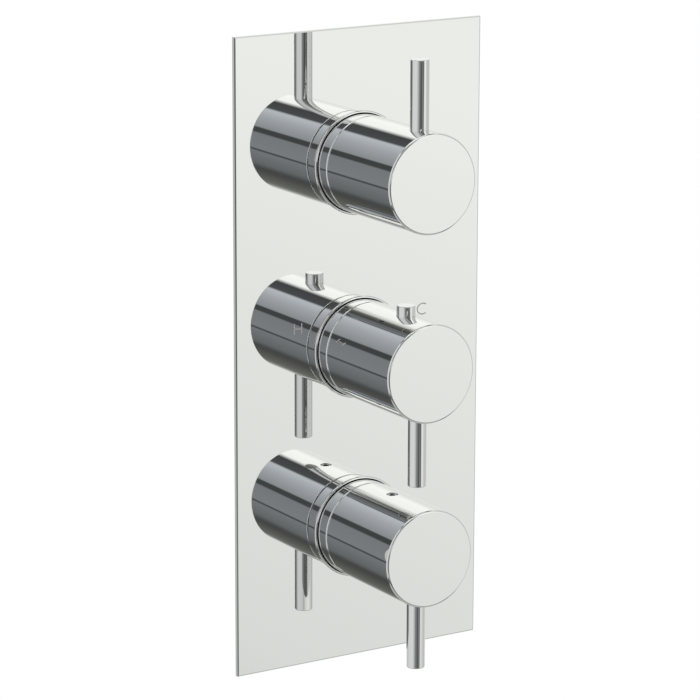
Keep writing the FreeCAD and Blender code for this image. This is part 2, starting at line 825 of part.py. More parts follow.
save("cover_plate", cover_plate())
save("wall_seal", wall_seal())
save("valve_body", valve_body())
heights = {"top": control_spacing, "middle": 0.0, "bottom": -control_spacing}
for place, height in heights.items():
    save(place + "_sleeve", sleeve(height))
save("sleeve_seals", Part.makeCompound([sleeve_seal(height) for height in heights.values()]))

cartridge_seals = thermostat_seals()
for place, control in flow_controls.items():
    height = control["z"]
    pointing = control["lever"]
    cartridge_seals += flow_seals(height)
    save(place + "_handle", flow_handle(height, pointing))
    save(place + "_lever", lever(height, pointing, flow_tenon_end))
    save(place + "_grub_screw", grub_screw(height, pointing))
    save(place + "_adaptor", adaptor(height, flow_adaptor_front))
    save(place + "_spindle", flow_spindle(height))
    save(place + "_cartridge", flow_cartridge(height))
    save(place + "_moving_disc", moving_disc(height))
    save(place + "_fixed_disc", ceramic_disc(fixed_disc_front, height, 90.0))
save("cartridge_seals", Part.makeCompound(cartridge_seals))

save("temperature_handle", temperature_handle())
save("temperature_lever", lever(0.0, downward, adaptor_radius))
save("temperature_adaptor", adaptor(0.0, mix_adaptor_front))
save("temperature_spindle", temperature_spindle())
save("override_button", override_button())
save("button_spring", button_spring())
save("stop_ring", stop_ring())
save("thermostat_housing", thermostat_housing())
save("thermostat_nut", thermostat_nut())
save("adjuster", adjuster())
save("wax_capsule", wax_capsule())
save("shuttle", shuttle())
save("return_spring", return_spring())

for name, make in (("inlet_unions", inlet_union), ("inlet_seals", inlet_seal),
                   ("inlet_filters", inlet_filter), ("check_housings", check_housing)):
    save(name, Part.makeCompound([make(side) for side in (-1, 1)]))
for supply, side in (("hot", -1), ("cold", 1)):
    save(supply + "_check_poppet", check_poppet(side))
    save(supply + "_check_spring", check_spring(side))
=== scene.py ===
import json
import math

import bmesh
import bpy
from mathutils import Matrix, Vector


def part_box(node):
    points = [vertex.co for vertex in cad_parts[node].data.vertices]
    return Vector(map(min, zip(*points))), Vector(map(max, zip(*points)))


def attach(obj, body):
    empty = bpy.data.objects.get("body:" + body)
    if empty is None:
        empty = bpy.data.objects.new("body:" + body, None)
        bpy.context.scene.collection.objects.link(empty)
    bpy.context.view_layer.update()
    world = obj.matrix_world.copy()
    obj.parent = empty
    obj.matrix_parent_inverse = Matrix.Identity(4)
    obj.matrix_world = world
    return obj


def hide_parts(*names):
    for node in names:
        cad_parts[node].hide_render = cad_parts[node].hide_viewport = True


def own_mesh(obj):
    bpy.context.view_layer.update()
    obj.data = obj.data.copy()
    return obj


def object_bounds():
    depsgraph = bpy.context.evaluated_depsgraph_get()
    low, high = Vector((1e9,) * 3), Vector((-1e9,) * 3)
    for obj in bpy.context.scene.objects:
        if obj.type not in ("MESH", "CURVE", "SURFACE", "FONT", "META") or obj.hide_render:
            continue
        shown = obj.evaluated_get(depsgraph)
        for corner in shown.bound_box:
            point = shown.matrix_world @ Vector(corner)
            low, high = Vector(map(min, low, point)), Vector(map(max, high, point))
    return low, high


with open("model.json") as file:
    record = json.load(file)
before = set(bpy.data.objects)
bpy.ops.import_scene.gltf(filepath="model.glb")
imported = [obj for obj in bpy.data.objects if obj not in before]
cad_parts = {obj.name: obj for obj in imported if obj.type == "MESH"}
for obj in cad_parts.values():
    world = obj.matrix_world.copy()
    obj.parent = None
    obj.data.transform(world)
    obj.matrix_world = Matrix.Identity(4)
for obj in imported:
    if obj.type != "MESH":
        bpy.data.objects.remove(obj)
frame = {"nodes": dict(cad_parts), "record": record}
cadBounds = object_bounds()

nodes = frame["nodes"]
mm = 0.001         # the object's sizes are in millimetres, and go to metres where a mesh is made
overshoot = 1.0    # mm that a cutter stands out of the face it opens
sides = {"knob": 192, "ring": 160, "pin": 96, "screw": 64, "hexagon": 6}  # facets round what is turned or drilled

scene = bpy.context.scene
scene.view_settings.view_transform = "Standard"


def linearColour(code):
    # an sRGB hex colour as linear red, green, blue and alpha
    channels = []
    for place in (1, 3, 5):
        value = int(code[place:place + 2], 16) / 255
        channels.append(value / 12.92 if value <= 0.04045 else ((value + 0.055) / 1.055) ** 2.4)
    return (*channels, 1.0)


def addNode(tree, kind, settings=None, links=None):
    # a setting is an input by name or place, an attribute of the node, or the stops of its ramp
    node = tree.nodes.new(kind)
    for name, value in (settings or {}).items():
        if name == "stops":
            ramp = node.color_ramp
            ramp.elements.remove(ramp.elements[1])
            for count, (place, shade) in enumerate(value):
                stop = ramp.elements[0] if count == 0 else ramp.elements.new(place)
                stop.position = place
                stop.color = shade
        elif isinstance(name, int) or name in node.inputs:
            node.inputs[name].default_value = value
        else:
            setattr(node, name, value)
    for name, source in (links or {}).items():
        tree.links.new(source, node.inputs[name])
    return node


def newMaterial(name):
    material = bpy.data.materials.new(name)
    material.use_nodes = True
    material.node_tree.nodes.clear()
    return material, material.node_tree


def boxOf(node):
    # low and high corner of a CAD node, in millimetres
    return [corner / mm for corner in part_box(node)]


def roundedOutline(corners, steps=6):
    # (radius, along, fillet) corners; each fillet becomes an arc of this many steps
    points = []
    total = len(corners)
    for count, (radius, along, fillet) in enumerate(corners):
        here = Vector((radius, along))
        if fillet <= 0:
            points.append(here)
            continue
        before = (Vector(corners[count - 1][:2]) - here).normalized()
        after = (Vector(corners[(count + 1) % total][:2]) - here).normalized()
        half = before.angle(after) / 2
        reach = fillet / math.tan(half)
        centre = here + (before + after).normalized() * (fillet / math.sin(half))
        start = here + before * reach - centre
        sweep = start.angle_signed(here + after * reach - centre)
        for step in range(steps + 1):
            points.append(centre + Matrix.Rotation(-sweep * step / steps, 2) @ start)
    return points


def axisFrame(origin, axis):
    # turns and moves a mesh made round Z at zero, so that its Z runs along the axis from the origin
    along = Vector(axis).normalized()
    across = Vector((1, 0, 0)) if abs(along.x) < 0.5 else Vector((0, 1, 0))
    other = along.cross(across)
    turn = Matrix((across, other, along)).transposed().to_4x4()
    return Matrix.Translation(Vector(origin) * mm) @ turn


def meshObject(name, mesh):
    data = bpy.data.meshes.new(name)
    mesh.to_mesh(data)
    mesh.free()
    piece = bpy.data.objects.new(name, data)
    scene.collection.objects.link(piece)
    return piece


def turnedMesh(name, outline, origin, axis, segments=sides["ring"]):
    # outline points (radius, along) turned about the axis; a point on the axis becomes a pole
    mesh = bmesh.new()
    turns = [2 * math.pi * step / segments for step in range(segments)]
    rings = []
    for radius, along in outline:
        if radius == 0:
            rings.append([mesh.verts.new((0, 0, along * mm))] * segments)
        else:
            rings.append([mesh.verts.new((radius * mm * math.cos(turn), radius * mm * math.sin(turn), along * mm))
                          for turn in turns])
    for count, ring in enumerate(rings):
        after = rings[(count + 1) % len(rings)]
        for step in range(segments):
            ahead = (step + 1) % segments
            corners = [ring[step], ring[ahead], after[ahead], after[step]]
            distinct = list(dict.fromkeys(corners))
            if len(distinct) > 2:
                mesh.faces.new(distinct)
    bmesh.ops.recalc_face_normals(mesh, faces=mesh.faces)
    mesh.transform(axisFrame(origin, axis))
    return meshObject(name, mesh)


def drill(name, radius, foot, top, origin, axis, segments):
    # a plain cutter from foot to top, measured along the axis
    return turnedMesh(name, [(0, foot), (radius, foot), (radius, top), (0, top)], origin, axis, segments)


def applyModifiers(piece):
    view = bpy.context.evaluated_depsgraph_get()
    shaped = bpy.data.meshes.new_from_object(piece.evaluated_get(view))
    piece.modifiers.clear()
    piece.data = shaped


def cutWith(piece, cutters):
    for cutter in cutters:
        cut = piece.modifiers.new("cut", "BOOLEAN")
        cut.operation = "DIFFERENCE"
        cut.solver = "EXACT"
        cut.object = cutter
    applyModifiers(piece)
    for cutter in cutters:
        bpy.data.objects.remove(cutter)


def smoothShade(piece, edgeAngle=30):
    # smooth up to this many degrees between faces; a large face keeps its own normal beside a fillet
    piece.data.shade_smooth()
    piece.data.set_sharp_from_angle(angle=math.radians(edgeAngle))
    weighted = piece.modifiers.new("normals", "WEIGHTED_NORMAL")
    weighted.keep_sharp = True
    applyModifiers(piece)


def dress(piece, material, body, slot, *replaced):
    piece.data.materials.clear()
    piece.data.materials.append(material)
    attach(piece, body)
    if replaced:
        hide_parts(*replaced)


chromeSettings = {
    "colour": "#EEEEED",          # chromium is a near neutral metal
    "roughness": (0.012, 0.03),   # where it is clean, and in a smear
    "wipeMarks": 35.0,            # mm across, faint smears left by a cloth
    "waviness": 60.0,             # mm across, what buffing leaves on a flat
    "waveHeight": 0.004,          # mm
}


def chromeFinish():
    # buffed brass under bright nickel and chromium: a mirror whose only texture is wipe marks
    material, tree = newMaterial("polished chromium plate")
    place = addNode(tree, "ShaderNodeTexCoord").outputs["Object"]
    smears = addNode(tree, "ShaderNodeTexNoise",
                     {"Scale": 1 / (chromeSettings["wipeMarks"] * mm), "Detail": 4.0, "Roughness": 0.6},
                     {"Vector": place})
    low, high = chromeSettings["roughness"]
    gloss = addNode(tree, "ShaderNodeMapRange", {"From Min": 0.35, "From Max": 0.7, "To Min": low, "To Max": high},
                    {"Value": smears.outputs["Fac"]})
    waves = addNode(tree, "ShaderNodeTexNoise", {"Scale": 1 / (chromeSettings["waviness"] * mm), "Detail": 1.0},
                    {"Vector": place})
    bump = addNode(tree, "ShaderNodeBump", {"Strength": 1.0, "Distance": chromeSettings["waveHeight"] * mm},
                   {"Height": waves.outputs["Fac"]})
    shader = addNode(tree, "ShaderNodeBsdfPrincipled",
                     {"Base Color": linearColour(chromeSettings["colour"]), "Metallic": 1.0},
                     {"Roughness": gloss.outputs[0], "Normal": bump.outputs[0]})
    addNode(tree, "ShaderNodeOutputMaterial", links={"Surface": shader.outputs[0]})
    return material


castBrassSettings = {
    "light": "#CDAA68", "dark": "#B8935A",
    "roughness": (0.38, 0.55),
    "patches": 18.0,          # mm across, stains of the heat and the mould
    "grain": 0.9,             # mm, the sand's grain after blasting, coarser than real so that it shows
    "grainDepth": 0.12,       # mm
    "facedFrom": 126.8,       # mm above or below the middle axis, where the two outlets are faced off
    "facedRoughness": 0.22,
}
turnedBrassSettings = {
    "light": "#D3AE68", "dark": "#BC9552",
    "roughness": 0.24,
    "patches": 9.0,           # mm across, slight stains
    "toolMark": 2.2,          # mm from one lathe line to the next, coarser than real so that it shows
    "toolDepth": 0.02,        # mm
}


def castBrassFinish():
    # sand-cast and shot-blasted: a dull, slightly pitted skin with darker patches, and bright faced ends
    material, tree = newMaterial("sand cast brass")
    place = addNode(tree, "ShaderNodeTexCoord").outputs["Object"]
    patches = addNode(tree, "ShaderNodeTexNoise",
                      {"Scale": 1 / (castBrassSettings["patches"] * mm), "Detail": 5.0}, {"Vector": place})
    stops = [(0.35, linearColour(castBrassSettings["dark"])), (0.65, linearColour(castBrassSettings["light"]))]
    colour = addNode(tree, "ShaderNodeValToRGB", {"stops": stops}, {"Fac": patches.outputs["Fac"]})
    grain = addNode(tree, "ShaderNodeTexNoise",
                    {"Scale": 1 / (castBrassSettings["grain"] * mm), "Detail": 3.0}, {"Vector": place})
    bump = addNode(tree, "ShaderNodeBump", {"Strength": 0.6, "Distance": castBrassSettings["grainDepth"] * mm},
                   {"Height": grain.outputs["Fac"]})
    low, high = castBrassSettings["roughness"]
    rough = addNode(tree, "ShaderNodeMapRange", {"From Min": 0.3, "From Max": 0.7, "To Min": low, "To Max": high},
                    {"Value": grain.outputs["Fac"]})
    skin = addNode(tree, "ShaderNodeBsdfPrincipled", {"Metallic": 1.0},
                   {"Base Color": colour.outputs[0], "Roughness": rough.outputs[0], "Normal": bump.outputs[0]})
    faced = addNode(tree, "ShaderNodeBsdfPrincipled",
                    {"Base Color": linearColour(turnedBrassSettings["light"]), "Metallic": 1.0,
                     "Roughness": castBrassSettings["facedRoughness"]})
    height = addNode(tree, "ShaderNodeSeparateXYZ", links={"Vector": place}).outputs["Z"]
    away = addNode(tree, "ShaderNodeMath", {"operation": "ABSOLUTE"}, {0: height})
    machined = addNode(tree, "ShaderNodeMath", {"operation": "GREATER_THAN", 1: castBrassSettings["facedFrom"] * mm},
                       {0: away.outputs[0]})
    shader = addNode(tree, "ShaderNodeMixShader",
                     links={0: machined.outputs[0], 1: skin.outputs[0], 2: faced.outputs[0]})
    addNode(tree, "ShaderNodeOutputMaterial", links={"Surface": shader.outputs[0]})
    return material


def turnedBrassFinish():
    # machined on a lathe: bright, with fine rings round Y, the axis of most turned pieces
    material, tree = newMaterial("turned brass")
    place = addNode(tree, "ShaderNodeTexCoord").outputs["Object"]
    patches = addNode(tree, "ShaderNodeTexNoise",
                      {"Scale": 1 / (turnedBrassSettings["patches"] * mm), "Detail": 2.0}, {"Vector": place})
    stops = [(0.3, linearColour(turnedBrassSettings["dark"])), (0.7, linearColour(turnedBrassSettings["light"]))]
    colour = addNode(tree, "ShaderNodeValToRGB", {"stops": stops}, {"Fac": patches.outputs["Fac"]})
    waveRate = 20  # radians that the wave texture turns in one unit at scale 1
    rings = addNode(tree, "ShaderNodeTexWave",
                    {"Scale": 2 * math.pi / (waveRate * turnedBrassSettings["toolMark"] * mm),
                     "bands_direction": "Y", "Distortion": 0.3}, {"Vector": place})
    bump = addNode(tree, "ShaderNodeBump", {"Strength": 0.25, "Distance": turnedBrassSettings["toolDepth"] * mm},
                   {"Height": rings.outputs["Fac"]})
    shader = addNode(tree, "ShaderNodeBsdfPrincipled",
                     {"Metallic": 1.0, "Roughness": turnedBrassSettings["roughness"]},
                     {"Base Color": colour.outputs[0], "Normal": bump.outputs[0]})
    addNode(tree, "ShaderNodeOutputMaterial", links={"Surface": shader.outputs[0]})
    return material


plainFinishes = {
    # grain and relief in mm; the grains are coarser than real, so that they show
    # drawn, woven or turned stainless steel: a grey metal sheen
    "steel": {"name": "bright stainless steel", "light": "#C9CBCC", "dark": "#B4B6B8",
              "metallic": 1.0, "roughness": 0.22, "grain": 0.6, "relief": 0.004},
    # moulded: a dull black that sinks into its groove
    "black_rubber": {"name": "moulded rubber", "light": "#1B1C1D", "dark": "#121313",
                     "metallic": 0.0, "roughness": 0.55, "grain": 0.5, "relief": 0.02},
    # foamed and cut: quite matt, with a rough cut edge
    "foam": {"name": "closed cell foam", "light": "#2B2C2D", "dark": "#1C1D1D",
             "metallic": 0.0, "roughness": 0.85, "grain": 0.7, "relief": 0.15},
    # pressed: a matt brick red with short fibres
    "red_fibre": {"name": "pressed fibre", "light": "#7E3A2E", "dark": "#6A2D24",
                  "metallic": 0.0, "roughness": 0.75, "grain": 0.8, "relief": 0.03},
    # lapped: a hard, even gloss on cream white
    "ceramic": {"name": "lapped alumina", "light": "#ECE9E2", "dark": "#E2DED6",
                "metallic": 0.0, "roughness": 0.12, "grain": 3.0, "relief": 0.001},
    # moulded: a waxy white with a soft sheen
    "white_acetal": {"name": "moulded acetal", "light": "#E9E9E4", "dark": "#DEDED8",
                     "metallic": 0.0, "roughness": 0.38, "grain": 4.0, "relief": 0.004},
}


def plainFinish(slot):
    # two close colours in a grain of real size, with a little relief
    settings = plainFinishes[slot]
    material, tree = newMaterial(settings["name"])
    place = addNode(tree, "ShaderNodeTexCoord").outputs["Object"]
    grain = addNode(tree, "ShaderNodeTexNoise", {"Scale": 1 / (settings["grain"] * mm), "Detail": 3.0},
                    {"Vector": place})
    stops = [(0.35, linearColour(settings["dark"])), (0.65, linearColour(settings["light"]))]
    colour = addNode(tree, "ShaderNodeValToRGB", {"stops": stops}, {"Fac": grain.outputs["Fac"]})
    bump = addNode(tree, "ShaderNodeBump", {"Strength": 0.8, "Distance": settings["relief"] * mm},
                   {"Height": grain.outputs["Fac"]})
    shader = addNode(tree, "ShaderNodeBsdfPrincipled",
                     {"Metallic": settings["metallic"], "Roughness": settings["roughness"]},
                     {"Base Color": colour.outputs[0], "Normal": bump.outputs[0]})
    addNode(tree, "ShaderNodeOutputMaterial", links={"Surface": shader.outputs[0]})
    return material


finishes = {slot: plainFinish(slot) for slot in plainFinishes}
finishes["chrome"] = chromeFinish()
finishes["cast_brass"] = castBrassFinish()
finishes["turned_brass"] = turnedBrassFinish()
for part in frame["record"]["subparts"]:
    cadNode = nodes[part["node"]]
    cadNode.data.materials.clear()
    cadNode.data.materials.append(finishes[part["material_slot"]])
print("finishes on", len(nodes), "nodes")

controls = {"top": 87.0, "middle": 0.0, "bottom": -87.0}  # mm, heights of the three axes
knobParts = {  # the middle control's CAD nodes are named for the temperature; a lever points up or down
    "top": {"node": "top", "body": "top_control", "lever": 1},
    "middle": {"node": "temperature", "body": "temperature_control", "lever": -1},
    "bottom": {"node": "bottom", "body": "bottom_control", "lever": -1},
}

plateSettings = {
    "bevelWidth": 0.6, "bevelDepth": 0.3,   # mm, the polished front edge
    "backBevel": 1.0,                       # mm, so that the rim looks thin
    "holeRadius": 23.6,
}


def coverPlate():
    low, high = boxOf("cover_plate")
    front, back = low.y, high.y
    bevelWidth, bevelDepth, backBevel = (plateSettings[name] for name in ("bevelWidth", "bevelDepth", "backBevel"))
    mesh = bmesh.new()
    rims = []
    for inset, y in ((backBevel, back), (0, back - backBevel), (0, front + bevelDepth), (bevelWidth, front)):
        rims.append([mesh.verts.new((x * mm, y * mm, z * mm)) for x, z in
                     ((low.x + inset, low.z + inset), (high.x - inset, low.z + inset),
                      (high.x - inset, high.z - inset), (low.x + inset, high.z - inset))])
    for rim, ahead in zip(rims, rims[1:]):
        for side in range(4):
            after = (side + 1) % 4
            mesh.faces.new([rim[side], rim[after], ahead[after], ahead[side]])
    mesh.faces.new(rims[0])
    mesh.faces.new(rims[-1])
    bmesh.ops.recalc_face_normals(mesh, faces=mesh.faces)
    plate = meshObject("coverPlate", mesh)
    cutWith(plate, [drill("plateHole", plateSettings["holeRadius"], back + overshoot, front - overshoot,
                          (0, 0, height), (0, 1, 0), sides["ring"]) for height in controls.values()])
    smoothShade(plate, edgeAngle=20)
    dress(plate, finishes["chrome"], "root", "chrome", "cover_plate")


coverPlate()
print("cover plate made")

sleeveSettings = {"bore": 21.0, "frontRound": 0.7, "backRound": 0.2, "boreRound": 0.1}  # mm


def sleevePiece(place, height):
    low, high = boxOf(place + "_sleeve")
    radius, front, back = (high.x - low.x) / 2, low.y, high.y
    bore = sleeveSettings["bore"]
    corners = [(bore, front, sleeveSettings["boreRound"]), (radius, front, sleeveSettings["frontRound"]),
               (radius, back, sleeveSettings["backRound"]), (bore, back, 0)]
    sleeve = turnedMesh(place + "Sleeve", roundedOutline(corners), (0, 0, height), (0, 1, 0))
    smoothShade(sleeve)
    dress(sleeve, finishes["chrome"], "root", "chrome", place + "_sleeve")


collarSettings = {
    "inner": 23.38, "outer": 24.3,    # mm, radii; the inner one clears the sleeve
    "proud": 0.9, "depth": 2.4,       # mm in front of the plate and into its hole
    "outerRound": 0.7, "innerRound": 0.12,
    "clearance": 0.02,                # mm to the plate's hole
}


def collarPiece(place, height):
    # a low trim ring lines each hole and stands a little proud of the plate
    face = boxOf("cover_plate")[0].y
    inner, outer = collarSettings["inner"], collarSettings["outer"]
    front, foot = face - collarSettings["proud"], face + collarSettings["depth"]
    hole = plateSettings["holeRadius"] - collarSettings["clearance"]
    corners = [(inner, front, collarSettings["innerRound"]), (outer, front, collarSettings["outerRound"]),
               (outer, face, 0), (hole, face, 0), (hole, foot, 0), (inner, foot, 0)]
    collar = turnedMesh(place + "Collar", roundedOutline(corners), (0, 0, height), (0, 1, 0))
    smoothShade(collar)
    dress(collar, finishes["chrome"], "root", "chrome")


for place, height in controls.items():
    sleevePiece(place, height)
    collarPiece(place, height)

knobSettings = {
    "rim": 1.0, "backRim": 0.3,   # mm, rounding of the front and back edges
    "wall": 3.2,
    "nose": 15.5,                 # solid front before the hollow begins
    "hub": 10.0, "bore": 6.55,    # radii of the middle, which grips the adaptor
    "hubSetback": 7.5,            # from the hub's end to the knob's back
    "boreInNose": 6.0,            # how far a flow knob's bore goes on into the nose
    "middleCap": 7.0,             # what the middle knob's bore leaves of the nose
    "noseRound": 0.5, "backRound": 0.2,
    "holeFoot": 1.0,              # a side hole's cutter starts this far outside the hub
    "holeReach": 5.0,             # and ends this far outside the knob
}
leverSettings = {  # mm; the pin's foot sits this far from the knob's axis
    "y": -54.2, "radius": 4.3, "seat": 20.0, "clearance": 0.05, "tipRound": 0.4, "seatRound": 0.2,
}
grubSettings = {
    "y": -33.4, "hole": 2.7, "mouthBevel": 0.15,   # mm
    "radius": 2.6, "recess": 0.6,         # the screw, and how far it lies under the knob's surface
    "tipBevel": 0.6, "topBevel": 0.3,
    "socket": 1.65, "socketDepth": 2.4,   # corner radius of the hexagon
}
buttonSettings = {
    "y": -44.1, "radius": 4.3, "clearance": 0.08, "tipRound": 0.45,   # mm
    "flange": 5.6, "flangeTop": 18.7, "flangeThickness": 1.3,   # the flange keeps the button in its hole
    "neck": 2.0, "foot": 4.0, "footThickness": 1.5,
    "edgeRound": 0.2,
}


def knobPiece(place, height):
    part = knobParts[place]
    low, high = boxOf(part["node"] + "_handle")
    radius, face, back = (high.x - low.x) / 2, low.y, high.y
    nose, hubBack = face + knobSettings["nose"], back - knobSettings["hubSetback"]
    inner, hub, bore = radius - knobSettings["wall"], knobSettings["hub"], knobSettings["bore"]
    boreFront = face + knobSettings["middleCap"] if place == "middle" else nose - knobSettings["boreInNose"]
    noseRound, backRound = knobSettings["noseRound"], knobSettings["backRound"]
    corners = [(0, face, 0), (radius, face, knobSettings["rim"]), (radius, back, knobSettings["backRim"]),
               (inner, back, backRound), (inner, nose, noseRound), (hub, nose, noseRound),
               (hub, hubBack, backRound), (bore, hubBack, 0), (bore, boreFront, 0), (0, boreFront, 0)]
    knob = turnedMesh(place + "Knob", roundedOutline(corners), (0, 0, height), (0, 1, 0), sides["knob"])
    up = part["lever"]
    foot, reach = hub + knobSettings["holeFoot"], radius + knobSettings["holeReach"]
    leverHole = leverSettings["radius"] + leverSettings["clearance"]
    cutters = [drill("leverHole", leverHole, leverSettings["seat"], reach,
                     (0, leverSettings["y"], height), (0, 0, up), sides["pin"])]
    if place == "middle":
        buttonHole = buttonSettings["radius"] + buttonSettings["clearance"]
        cutters.append(drill("buttonHole", buttonHole, foot, reach,
                             (0, buttonSettings["y"], height), (0, 0, 1), sides["pin"]))
    else:
        hole, mouth = grubSettings["hole"], grubSettings["mouthBevel"]
        outline = [(0, foot), (hole, foot), (hole, radius - mouth), (hole + 2 * mouth, radius + mouth), (0, reach)]
        cutters.append(turnedMesh("grubHole", outline, (0, grubSettings["y"], height), (0, 0, -up), sides["screw"]))
    cutWith(knob, cutters)
    smoothShade(knob)
    dress(knob, finishes["chrome"], part["body"], "chrome", part["node"] + "_handle")


def leverPiece(place, height):
    part = knobParts[place]
    low, high = boxOf(part["node"] + "_lever")
    up = part["lever"]
    tip = high.z - height if up > 0 else height - low.z
    radius, seat = leverSettings["radius"], leverSettings["seat"]
    corners = [(0, seat, 0), (radius, seat, leverSettings["seatRound"]), (radius, tip, leverSettings["tipRound"]),
               (0, tip, 0)]
    lever = turnedMesh(place + "Lever", roundedOutline(corners), (0, leverSettings["y"], height), (0, 0, up),
                       sides["pin"])
    smoothShade(lever)
    dress(lever, finishes["chrome"], part["body"], "chrome", part["node"] + "_lever")


def grubPiece(place, height):
    # a socket screw just under the knob's surface, on the side away from the lever
    low, high = boxOf(place + "_grub_screw")
    side = -knobParts[place]["lever"]
    tip = min(side * (low.z - height), side * (high.z - height))
    top = boxOf(place + "_handle")[1].x - grubSettings["recess"]
    radius, tipBevel, topBevel = (grubSettings[name] for name in ("radius", "tipBevel", "topBevel"))
    outline = [(0, tip), (radius - tipBevel, tip), (radius, tip + tipBevel), (radius, top - topBevel),
               (radius - topBevel, top), (0, top)]
    origin, axis = (0, grubSettings["y"], height), (0, 0, side)
    screw = turnedMesh(place + "GrubScrew", outline, origin, axis, sides["screw"])
    cutWith(screw, [drill("socket", grubSettings["socket"], top - grubSettings["socketDepth"], top + overshoot,
                          origin, axis, sides["hexagon"])])
    smoothShade(screw)
    dress(screw, finishes["steel"], place + "_control", "steel", place + "_grub_screw")


for place, height in controls.items():
    knobPiece(place, height)
    leverPiece(place, height)
    if place != "middle":
        grubPiece(place, height)
print("knobs, levers and screws made")


def overrideButton():
    low, high = boxOf("override_button")
    radius, neck, flange, foot = (buttonSettings[name] for name in ("radius", "neck", "flange", "foot"))
    bottom, tip, flangeTop = low.z, high.z, buttonSettings["flangeTop"]
    footTop, flangeFoot = bottom + buttonSettings["footThickness"], flangeTop - buttonSettings["flangeThickness"]
    edge = buttonSettings["edgeRound"]
    corners = [(0, bottom, 0), (foot, bottom, edge), (foot, footTop, edge), (neck, footTop, 0), (neck, flangeFoot, 0),
               (flange, flangeFoot, edge), (flange, flangeTop, edge), (radius, flangeTop, 0),
               (radius, tip, buttonSettings["tipRound"]), (0, tip, 0)]
    button = turnedMesh("overrideButton", roundedOutline(corners), (0, buttonSettings["y"], 0), (0, 0, 1),
                        sides["pin"])
    smoothShade(button)
    dress(button, finishes["chrome"], "button", "chrome", "override_button")


overrideButton()

springSettings = {
    # travel and wire in mm; towards is the coil's axis, from its middle to its fixed end
    "button_spring": {"body": "temperature_control", "joint": "button_press", "towards": (0, 0, -1),
                      "travel": 2.5, "turns": 2.6, "wire": 0.6},
    "hot_check_spring": {"body": "root", "joint": "hot_check_open", "towards": (1, 0, 0),
                         "travel": 2.5, "turns": 3.6, "wire": 0.6},
    "cold_check_spring": {"body": "root", "joint": "cold_check_open", "towards": (-1, 0, 0),
                          "travel": 2.5, "turns": 3.6, "wire": 0.6},
}
coilFacets = {"alongTurn": 28, "roundWire": 10}


def springPiece(node):
    # an open coil of round wire in the space of the CAD node's plain sleeve
    settings = springSettings[node]
    turns, wireRadius, axis = settings["turns"], settings["wire"] / 2, settings["towards"]
    low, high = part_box(node)
    along = Vector(axis)
    centre, reach = (low + high) / 2, (high - low) / 2
    half = abs(reach.dot(along)) / mm
    radius = reach.y / mm - wireRadius
    steps, around = round(turns * coilFacets["alongTurn"]), coilFacets["roundWire"]
    mesh = bmesh.new()
    rings = []
    for step in range(steps + 1):
        share = step / steps
        turn = 2 * math.pi * turns * share
        rise = (half - wireRadius) * (2 * share - 1)
        rings.append([])
        for corner in range(around):
            tilt = 2 * math.pi * corner / around
            out = radius + wireRadius * math.cos(tilt)
            rings[-1].append(mesh.verts.new((out * mm * math.cos(turn), out * mm * math.sin(turn),
                                             (rise + wireRadius * math.sin(tilt)) * mm)))
    for ring, after in zip(rings, rings[1:]):
        for corner in range(around):
            ahead = (corner + 1) % around
            mesh.faces.new([ring[corner], ring[ahead], after[ahead], after[corner]])
    mesh.faces.new(rings[0])
    mesh.faces.new(rings[-1])
    bmesh.ops.recalc_face_normals(mesh, faces=mesh.faces)
    mesh.transform(axisFrame(centre / mm, along))
    first, *others = node.split("_")
    spring = meshObject(first + "".join(word.capitalize() for word in others), mesh)
    spring.data.shade_smooth()
    dress(spring, finishes["steel"], settings["body"], "steel", node)
    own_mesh(spring)


for node in springSettings:
    springPiece(node)
print("button and springs made")

markSettings = {
    "height": 5.0, "width": 4.5, "stroke": 0.55, "proud": 0.02,   # mm, of the hot mark's bars
    "hot": (-33.1, 12.6), "cold": (35.1, 14.0),                   # mm, centres on the plate, X and Z
    "coldReach": 3.3, "coldRise": 2.85,                           # mm, half the cold mark's width and height
    "coldMouth": 54.0, "coldSteps": 36,                           # half its opening in degrees, and its facets
    "light": "#B6B4B1", "dark": "#ABA9A6",
    "metallic": 0.4, "roughness": 0.55,                           # chromium still shows between the bites
    "grain": 0.25,                                                # mm, the beam's tracks, coarser than real
}


def markFinish():
    # laser-etched chromium: the beam's bite leaves a matt grey
    material, tree = newMaterial("laser etched mark")
    place = addNode(tree, "ShaderNodeTexCoord").outputs["Object"]
    grain = addNode(tree, "ShaderNodeTexNoise", {"Scale": 1 / (markSettings["grain"] * mm)}, {"Vector": place})
    stops = [(0.3, linearColour(markSettings["dark"])), (0.7, linearColour(markSettings["light"]))]
    colour = addNode(tree, "ShaderNodeValToRGB", {"stops": stops}, {"Fac": grain.outputs["Fac"]})
    shader = addNode(tree, "ShaderNodeBsdfPrincipled",
                     {"Roughness": markSettings["roughness"], "Metallic": markSettings["metallic"]},
                     {"Base Color": colour.outputs[0]})
    addNode(tree, "ShaderNodeOutputMaterial", links={"Surface": shader.outputs[0]})
    return material


def strokeBand(mesh, inner, outer, front, back):
    # a flat stroke between two matching lists of (x, z) points
    rings = []
    for y in (front, back):
        for edge in (inner, outer):
            rings.append([mesh.verts.new((x * mm, y * mm, z * mm)) for x, z in edge])
    frontIn, frontOut, backIn, backOut = rings
    for one, other in ((frontIn, frontOut), (frontOut, backOut), (backOut, backIn), (backIn, frontIn)):
        for step in range(len(one) - 1):
            mesh.faces.new([one[step], one[step + 1], other[step + 1], other[step]])
    for end in (0, -1):
        mesh.faces.new([ring[end] for ring in (frontIn, frontOut, backOut, backIn)])


